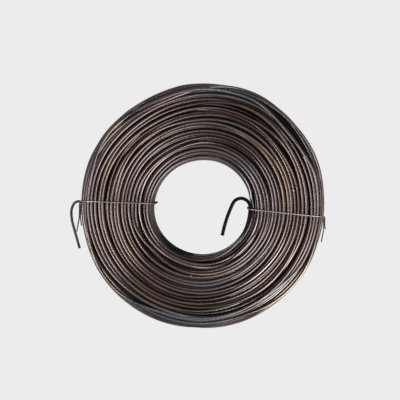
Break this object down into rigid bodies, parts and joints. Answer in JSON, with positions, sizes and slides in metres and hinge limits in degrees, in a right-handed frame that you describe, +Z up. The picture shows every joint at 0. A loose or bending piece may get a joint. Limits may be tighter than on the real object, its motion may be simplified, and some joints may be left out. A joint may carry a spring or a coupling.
{
  "type": "coil of tie wire",
  "caption": "Flat coil of dark annealed tie wire with an open bore, hooked wire ends and thin wire ties, drawn off by hand or from a belt reel to bind reinforcing bars.",
  "frame": {"origin": "middle of the bore, on its axis and halfway up the coil", "axes": "+Z up along the bore's axis with the coil lying on its lower end, +X towards the side of the inner hooked end, +Y towards the top of the picture"},
  "size_m": [0.1375, 0.13, 0.0274],
  "materials": {
    "annealed_wire": "black annealed oxide with brown and grey tints, dull sheen",
    "tie_wire": "dull grey-brown drawn wire"
  },
  "bodies": {
    "root": {"wire_coil": "annealed_wire", "left_tie": "tie_wire", "right_tie": "tie_wire"}
  },
  "joints": []
}
